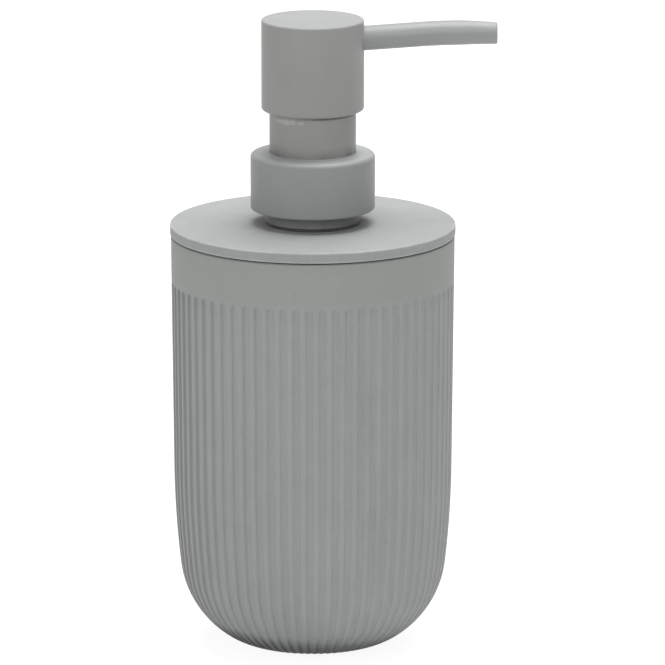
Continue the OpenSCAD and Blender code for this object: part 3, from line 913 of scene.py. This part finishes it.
# %% Sweep screw threads
THREAD_PITCH = 25.4 / 6 * MM
THREAD_HEIGHT = 1.1 * MM
THREAD_START = neck_top - 8.6 * MM
NECK_TURNS, CAP_TURNS = 1.6, 1.2
RIDGE_FOOT, RIDGE_TIP = 1.15 * MM, 0.35 * MM
RIDGE_SINK, END_SIZE = 0.12, 0.35
LEAD_IN = 0.35
TURN_STEPS = 64


def capped(rings):
    """A skin that ends in two flat faces."""
    bm = skin(rings, closed=False)
    bm.verts.ensure_lookup_table()
    count = len(rings[0])
    last = len(bm.verts) - count
    bm.faces.new([bm.verts[k] for k in range(count - 1, -1, -1)])
    bm.faces.new([bm.verts[last + k] for k in range(count)])
    return bm


def thread_ridge(name, root, crest, low, turns):
    """A right-handed thread: a trapezoid ridge from root to crest, faded at both ends."""
    rings = []
    for i in range(int(TURN_STEPS * turns) + 1):
        u = i / TURN_STEPS
        a = 2 * math.pi * u
        fade = min(1.0, u / LEAD_IN, (turns - u) / LEAD_IN)
        fade = math.sin(math.pi / 2 * max(0.0, fade))
        height = root + (crest - root) * fade
        sunk = root - (crest - root) * RIDGE_SINK
        mid = low + THREAD_PITCH * u
        swell = END_SIZE + (1 - END_SIZE) * fade
        wide, narrow = swell * RIDGE_FOOT, swell * RIDGE_TIP
        section = [(sunk, -wide), (height, -narrow), (height, narrow), (sunk, wide)]
        rings.append([(r * math.cos(a), r * math.sin(a), mid + z) for r, z in section])
    return finished(capped(rings), name)


ridge = thread_ridge("neck_thread", neck_r, neck_r + THREAD_HEIGHT, THREAD_START, NECK_TURNS)
piece("neck_thread", ridge, neck_plastic, "bottle")
print("thread rises", round(THREAD_PITCH / MM, 3), "mm a turn")

# %% Turn the washer under the neck
washer_hole = lid_hole + 0.05 * MM
washer_outline = round_corners([
    (washer_hole, washer_low, 0),
    (washer_r, washer_low, 0.2 * MM),
    (washer_r, neck_foot, 0.3 * MM),
    (washer_hole, neck_foot, 0),
])
turned_piece("neck_seat_ring", washer_outline, black_rubber, "bottle", ["neck_washer"])
print("washer is", round((neck_foot - washer_low) / MM, 2), "mm thick")

# %% [markdown]
# ## The collar
#
# The collar is two pieces pressed together: a thin lacquered shell, and inside it the
# threaded cap. The shell's top edge is rounded more than its bottom one, and its top runs up
# to the sleeve in a small hollow fillet, so no dark gap shows there. A Solidify modifier
# could give it a wall, but each edge has its own rounding, so we turn it as a real open
# shell. Its lacquer gets a paler band along the top edge, most on the right: a painted
# highlight, which also lifts the head's shade on the top.
# The cap's thread lies half a pitch above the neck's, and stays clear of the gasket, which
# is left on the neck's rim while the collar climbs.

# %% Turn the collar's shell
COLLAR_WALL = 0.7 * MM
COLLAR_EDGE, COLLAR_FOOT = 1.0 * MM, 0.65 * MM
SLEEVE_INSET = 2.1 * MM
LIP_GAP, LIP_ARC, LIP_ANGLE = 0.06 * MM, 0.8 * MM, 30
collar_r = radius("closure_shell")
collar_low, lip_top = span("closure_shell")
head_r = radius("head_shell")
sleeve_r = head_r - SLEEVE_INSET
collar_hole = sleeve_r + LIP_GAP
collar_top = lip_top - LIP_ARC / 2
lip_middle = collar_hole + LIP_ARC * math.cos(math.radians(LIP_ANGLE))
lip = arc((lip_middle, collar_top + LIP_ARC), LIP_ARC, 270, 180 + LIP_ANGLE)
collar_outline = round_corners([
    (collar_hole, collar_top - COLLAR_WALL, 0.1 * MM),
    (collar_r - COLLAR_WALL, collar_top - COLLAR_WALL, 0.5 * MM),
    (collar_r - COLLAR_WALL, collar_low, 0.03 * MM),
    (collar_r, collar_low, COLLAR_FOOT),
    (collar_r, collar_top, COLLAR_EDGE),
] + [(r, z, 0) for r, z in lip], 8)
print(f"collar {2 * collar_r / MM:.1f} mm over and {(collar_top - collar_low) / MM:.1f} mm high")

# %% Paint a highlight on the collar's top edge
RIM_HIGHLIGHT_EDGES = [(collar_r - inwards * MM, collar_top + 0.3 * MM) for inwards in (1.5, 3.3)]
RIM_HIGHLIGHT_WIDTH = 2.2 * MM


def collar_with_painted_highlight():
    """Lacquer with a painted highlight along the top edge, most on the right."""
    finish = grey_lacquer("collar_lacquer", COLLAR_LACQUER, COLLAR_TINT)
    more_on_right = finish.span(finish.axes()[0], -0.55 * collar_r, 0.3 * collar_r, 0.15, 1.0)
    # Painted highlight: the band along the top edge is painted paler.
    rim_highlight = finish.product(finish.near_round_edges(RIM_HIGHLIGHT_EDGES, RIM_HIGHLIGHT_WIDTH), more_on_right)
    finish.overlay(rim_highlight, tone(COLLAR_LACQUER * 1.54, COLLAR_TINT))
    return finish.material


# The paler band along the collar's top edge is a painted highlight.
collar_lacquer = collar_with_painted_highlight()
turned_piece("collar_shell", collar_outline, collar_lacquer, "collar", ["closure_shell"])
print("worn along the edge, to a width of", round(RIM_HIGHLIGHT_WIDTH / MM, 1), "mm")

# %% Turn the threaded cap
CAP_CLEAR = 1.55 * MM
CAP_ROOF = 1.1 * MM
GASKET_GAP = 0.06 * MM
cap_r = radius("closure_cap")
cap_low, cap_top = span("closure_cap")
cap_bore = neck_r + CAP_CLEAR
cap_hole = sleeve_r + 0.3 * MM
cap_outline = round_corners([
    (cap_bore, cap_top - CAP_ROOF, 0.3 * MM),
    (cap_bore, cap_low, 0.3 * MM),
    (cap_r, cap_low, 0.2 * MM),
    (cap_r, cap_top, 0.4 * MM),
    (cap_hole, cap_top, 0),
    (cap_hole, cap_top - CAP_ROOF, 0),
])
turned_piece("threaded_cap", cap_outline, nylon, "collar", ["closure_cap"])
cap_crest = radius("flange_gasket") + GASKET_GAP
ridge = thread_ridge("cap_thread", cap_bore, cap_crest, THREAD_START + THREAD_PITCH / 2, CAP_TURNS)
piece("cap_thread", ridge, nylon, "collar")
print("cap bore", round(2 * cap_bore / MM, 2), "mm")

# %% [markdown]
# ## The guide sleeve
#
# The head slides over this plain lacquered sleeve. It stands on a thin flange that the
# collar holds down. The short stretch that shows is where a pump wears: there is a pale
# rubbed patch with a ragged edge high on the front left, where the head has scraped it.
# Shade is painted on as well: a dark painted shadow line under the head, strongest on the
# right, and painted shade low down by the collar, darker towards the sides. These could
# be painted on an image, but masks from the coordinates need no unwrapping and stay sharp.

# %% Wear the sleeve's lacquer and paint its shade
head_low, head_top = span("head_shell")
PATCH = (-6.5 * MM, head_low - 1.75 * MM)
PATCH_LONG, PATCH_HIGH = 4.4 * MM, 0.75 * MM
# Height of the painted shadow line under the head, and the reach of the painted shade low down.
SHADOW_LINE_HEIGHT = head_low - 0.55 * MM
SLEEVE_SHADE_LOW, SLEEVE_SHADE_HIGH = collar_top - 0.4 * MM, collar_top + 2.9 * MM
SLEEVE_SHADE_TILT = 0.08


def worn_and_shaded_sleeve():
    """The lacquer, with a rubbed patch, a painted shadow line under the head and painted shade low down.
    """
    finish = grey_lacquer("worn_shaded_lacquer", LACQUER, HEAD_TINT)
    x, y, z = finish.axes()
    ragged = finish.noise(700, detail=4, roughness=0.65)
    squeeze = PATCH_HIGH / PATCH_LONG
    from_patch = finish.distance((finish.product(x, squeeze), PATCH[0] * squeeze), (z, PATCH[1]))
    torn = finish.math("ADD", from_patch, finish.blend((ragged, 1.7 * MM), (1.0, -0.85 * MM)))
    front = finish.math("LESS_THAN", y, 0.0)
    patch = finish.product(finish.span(torn, PATCH_HIGH * 0.65, PATCH_HIGH, 1, 0), front)
    # Painted shadow: a dark line under the head, strongest on the right.
    shadow_line = finish.product(
        finish.span(finish.distance((z, SHADOW_LINE_HEIGHT)), 0.18 * MM, 0.42 * MM, 1, 0),
        finish.span(x, -5 * MM, 3 * MM, 0.15, 0.85),
        finish.span(ragged, 0.36, 0.5, 0.45, 1),
    )
    # Painted shade: the sleeve is painted darker low down by the collar, darker and higher towards the
    # sides.
    aside = finish.math("ABSOLUTE", x)
    shade_blotches = finish.noise(210, where=finish.moved(scale=(1, 1, 0.5)))
    painted_tone = finish.product(
        finish.span(finish.blend((z, 1.0), (aside, -SLEEVE_SHADE_TILT)), SLEEVE_SHADE_LOW, SLEEVE_SHADE_HIGH, 1, 0),
        finish.span(shade_blotches, 0.38, 0.62, 0.25, 0.95),
        finish.span(aside, 0, 10 * MM, 0.55, 1),
    )
    finish.overlay(painted_tone, tone(LACQUER * 0.5, HEAD_TINT))
    finish.overlay(shadow_line, tone(LACQUER * 0.30))
    finish.overlay(finish.product(patch, 0.8), tone(LACQUER * 1.36, HEAD_TINT))
    finish.bump(patch, -0.12 * MM, 0.6)
    return finish.material


# The darker band low on the sleeve is painted shade.
worn_shaded_lacquer = worn_and_shaded_sleeve()
print("patch", [round(v / MM, 1) for v in PATCH], "mm, film up to", round(SLEEVE_SHADE_HIGH / MM, 1), "mm")

# %% Turn the sleeve
SLEEVE_WALL, SLEEVE_FLANGE = 1.0 * MM, 0.8 * MM
sleeve_low, sleeve_top = span("guide_sleeve")
flange_r = radius("guide_sleeve")
sleeve_outline = round_corners([
    (sleeve_r - SLEEVE_WALL, sleeve_top, 0.3 * MM),
    (sleeve_r - SLEEVE_WALL, sleeve_low, 0),
    (flange_r, sleeve_low, 0.1 * MM),
    (flange_r, sleeve_low + SLEEVE_FLANGE, 0.2 * MM),
    (sleeve_r, sleeve_low + SLEEVE_FLANGE, 0.3 * MM),
    (sleeve_r, sleeve_top, 0.4 * MM),
])
turned_piece("sliding_sleeve", sleeve_outline, worn_shaded_lacquer, "pump", ["guide_sleeve"])
print(f"sleeve {2 * sleeve_r / MM:.1f} mm over")

# %% [markdown]
# ## The head's shell and its spout
#
# The head is a plain round cap of thin metal with crisp, slightly eased edges. The spout
# passes through a round hole in its side with no fillet. We turn the shell as a thin open cap,
# and cut the hole with a Boolean, because a tube crossing a round wall has no simple outline.
# The spout could be a curve with a round bevel, but its section narrows and turns upright at
# the tip. So we place its rings one by one, out along the outside and back through the bore.

# %% The spout's route
SPOUT_DROP = 6.0 * MM
SPOUT_D = 6.5 * MM
SPOUT_BORE = 3.8 * MM
SPOUT_RISE = math.radians(4.1)
ARCH_START = 28 * MM
ARCH_R = 176 * MM
NOSE, NOSE_TAPER = 10 * MM, 0.8 * MM

spout_z = head_top - SPOUT_DROP
root, reach = [corner.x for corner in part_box("spout_tube")]


def spout_axis(x):
    """The axis's height and slope at a distance from the pump: a straight rise, then an arch."""
    if x < ARCH_START:
        return spout_z + x * math.tan(SPOUT_RISE), SPOUT_RISE
    center_x = ARCH_START + ARCH_R * math.sin(SPOUT_RISE)
    center_z = spout_z + ARCH_START * math.tan(SPOUT_RISE) - ARCH_R * math.cos(SPOUT_RISE)
    slope = math.asin((center_x - x) / ARCH_R)
    return center_z + ARCH_R * math.cos(slope), slope


print(f"spout leaves at {spout_z / MM:.1f} mm and reaches {reach / MM:.1f} mm")

# %% Sweep the spout
SPOUT_SIDES = 64
STRAIGHT_RINGS, ARCH_RINGS, TIP_RINGS = 6, 20, 6
TIP_EDGE = 0.45 * MM
BORE_EDGE = 0.25 * MM
UPRIGHT = 4 * MM


def tube_ring(x, z, slope, r):
    """A round section square to an axis that has a slope at (x, z)."""
    ring = []
    for k in range(SPOUT_SIDES):
        a = 2 * math.pi * k / SPOUT_SIDES
        up = r * math.sin(a)
        ring.append((x - up * math.sin(slope), -r * math.cos(a), z + up * math.cos(slope)))
    return ring


def spout_ring(x, r):
    """The spout's section at a distance from the pump, which turns upright over the last stretch."""
    z, slope = spout_axis(x)
    return tube_ring(x, z, slope * min(1.0, max(0.0, (reach - TIP_EDGE - x) / UPRIGHT)), r)


def spout_radius(x):
    past = max(0.0, x - (reach - NOSE))
    return (SPOUT_D - NOSE_TAPER * past / NOSE) / 2


stations = [root + (ARCH_START - root) * i / STRAIGHT_RINGS for i in range(STRAIGHT_RINGS)]
arch_long = reach - TIP_EDGE - ARCH_START
stations += [ARCH_START + arch_long * i / ARCH_RINGS for i in range(ARCH_RINGS + 1)]
rings = [spout_ring(x, spout_radius(x)) for x in stations]
face_r, bore = spout_radius(reach) - TIP_EDGE, SPOUT_BORE / 2
for i in range(1, TIP_RINGS + 1):
    a = math.pi / 2 * i / TIP_RINGS
    rings.append(spout_ring(reach - TIP_EDGE * (1 - math.sin(a)), face_r + TIP_EDGE * math.cos(a)))
for inwards, wider in ((0, 1), (0.32, 0.32), (1, 0)):
    rings.append(spout_ring(reach - BORE_EDGE * inwards, bore + BORE_EDGE * wider))
rings += [spout_ring(x, bore) for x in stations[-2::-1]]
piece("spout", finished(skin(rings), "spout"), spout_lacquer, "head", ["spout_tube"])
print("spout rings:", len(rings))

# %% Draw the head's shell
HEAD_WALL = 0.9 * MM
HEAD_EDGE, HEAD_FOOT = 0.5 * MM, 0.75 * MM
head_outline = round_corners([
    (0, head_top, 0),
    (0, head_top - HEAD_WALL, 0),
    (head_r - HEAD_WALL, head_top - HEAD_WALL, 0.3 * MM),
    (head_r - HEAD_WALL, head_low, 0.12 * MM),
    (head_r, head_low, HEAD_FOOT),
    (head_r, head_top, HEAD_EDGE),
], 8)
print(f"head {2 * head_r / MM:.1f} mm over, {(head_top - head_low) / MM:.1f} mm high")

# %% Paint light on the head's top


def head_with_painted_top():
    """The head's coat, with painted light on the top: a touch lighter and cooler than the sides."""
    finish = grey_lacquer("head_lacquer", LACQUER, HEAD_TINT)
    # Painted light: the top is painted a touch lighter and cooler than the sides.
    top_light = finish.span(finish.axes()[2], head_top - 0.9 * MM, head_top - 0.2 * MM, 0, 1)
    mask = finish.product(top_light, finish.patchy(140, 0.65))
    finish.overlay(mask, tone(LACQUER * 1.03, TOP_LIGHT_TINT))
    return finish.material


head_lacquer = head_with_painted_top()
print("made", head_lacquer.name)

# %% Cut the spout's hole
HOLE_GAP = 0.03 * MM


def drilled(mesh, name, hole_r, start, end):
    """Cuts a round hole along the spout's straight axis out of a mesh."""
    ends = [tube_ring(x, spout_z + x * math.tan(SPOUT_RISE), SPOUT_RISE, hole_r) for x in (start, end)]
    drill = bpy.data.objects.new("drill", finished(capped(ends), "drill"))
    blank = bpy.data.objects.new("blank", mesh)
    for obj in (drill, blank):
        bpy.context.scene.collection.objects.link(obj)
    cut = blank.modifiers.new("hole", "BOOLEAN")
    cut.operation, cut.object, cut.solver = "DIFFERENCE", drill, "EXACT"
    bm = bmesh.new()
    bm.from_mesh(blank.evaluated_get(bpy.context.evaluated_depsgraph_get()).to_mesh())
    bpy.data.objects.remove(blank)
    bpy.data.objects.remove(drill)
    return finished(bm, name)


head_mesh = drilled(
    turned("head_blank", head_outline), "head_cap",
    SPOUT_D / 2 + HOLE_GAP, head_r / 2, 2 * head_r,
)
piece("head_cap", head_mesh, head_lacquer, "head", ["head_shell"])
print("head faces:", len(head_mesh.polygons))

# %% [markdown]
# ## The return spring
#
# The spring is a real helix: close turns at both ends, open ones between. A Screw modifier
# would space its turns evenly, so we place a few hundred short rings of a round wire, at a
# pitch that widens in the middle.

# %% Wind the spring
SPRING_TURNS = 7
WIRE = 1.0 * MM
WIRE_SIDES, RINGS_A_TURN = 14, 48
END_PITCH = 1.05 * WIRE
spring_low, spring_high = span("return_spring")
spring_r = radius("return_spring") - WIRE / 2
spring_rise = spring_high - spring_low - WIRE
closed = END_PITCH * SPRING_TURNS / spring_rise


def spring_ring(u):
    """A ring of the wire at u from 0 to 1 along the coil."""
    a = 2 * math.pi * SPRING_TURNS * u
    rise = u - (1 - closed) * math.sin(2 * math.pi * u) / (2 * math.pi)
    mid = spring_low + WIRE / 2 + spring_rise * rise
    ring = []
    for k in range(WIRE_SIDES):
        b = 2 * math.pi * k / WIRE_SIDES
        r = spring_r + WIRE / 2 * math.cos(b)
        ring.append((r * math.cos(a), r * math.sin(a), mid + WIRE / 2 * math.sin(b)))
    return ring


ring_count = RINGS_A_TURN * SPRING_TURNS
coil = capped([spring_ring(i / ring_count) for i in range(ring_count + 1)])
spring = piece(
    "coil_spring", finished(coil, "coil_spring"),
    wire_steel, "pump", ["return_spring"],
)
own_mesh(spring)

# %% [markdown]
# ## Finishing the inner pieces
#
# The pieces inside are right as they were built, so they keep their shape and only get a
# finish. They are not for show, yet the cylinder, the gasket and the dip tube come into view
# whenever the pump is lifted out.

# %% Give the inner pieces their finish
finishes = {
    "base_pad": foam_rubber,
    "lid_seal": seal_rubber,
    "neck_nut": nylon,
    "flange_gasket": seal_plastic,
    "pump_cylinder": natural_plastic,
    "chaplet": natural_plastic,
    "inlet_ball": ball_steel,
    "dip_tube": tube_plastic,
    "stem": natural_plastic,
    "piston": seal_plastic,
    "outlet_valve": natural_plastic,
    "head_core": natural_plastic,
}
for name, material in finishes.items():
    mesh = nodes[name].data
    mesh.materials.clear()
    mesh.materials.append(material)
    print(name, "->", material.name, len(mesh.polygons))
